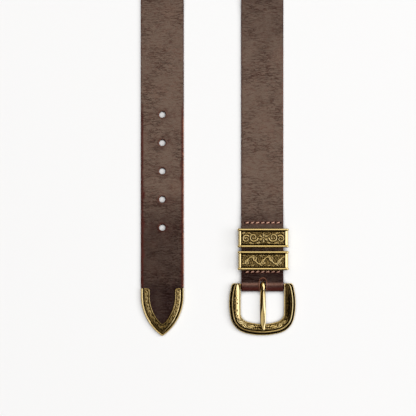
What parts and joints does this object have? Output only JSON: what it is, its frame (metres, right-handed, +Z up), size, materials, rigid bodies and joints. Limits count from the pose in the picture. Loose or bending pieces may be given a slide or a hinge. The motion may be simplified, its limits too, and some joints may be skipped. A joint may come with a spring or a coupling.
{
  "type": "western belt",
  "caption": "Leather trouser belt lying in a loop, with a cast brass D-shaped buckle and tongue, scrollwork keepers, and a pointed metal tip beside punched holes.",
  "frame": {"origin": "on the table, under the middle of the belt's footprint", "axes": "+Z up, +Y from the buckle and the tip towards the bend in the belt's middle, +X towards the buckle's side"},
  "size_m": [0.1378, 0.4974, 0.0383],
  "materials": {
    "strap_leather": "waxed dark brown, fine cross wrinkles, burnished edges",
    "cast_brass": "antiqued, dark in the recesses"
  },
  "bodies": {
    "strap": {"strap": "strap_leather", "keeper_upper": "cast_brass", "keeper_lower": "cast_brass", "belt_tip": "cast_brass"},
    "buckle": {"buckle_frame": "cast_brass"},
    "tongue": {"buckle_tongue": "cast_brass"}
  },
  "joints": [
    {"name": "frame_swing", "type": "hinge", "parent": "strap", "child": "buckle", "pos_m": [0.03928, -0.2046, 0.0045], "axis": [-1, 0, 0], "range_deg": [-80, 25]},
    {"name": "tongue_lift", "type": "hinge", "parent": "buckle", "child": "tongue", "pos_m": [0.03928, -0.2046, 0.0045], "axis": [-1, 0, 0], "range_deg": [0, 90]}
  ]
}
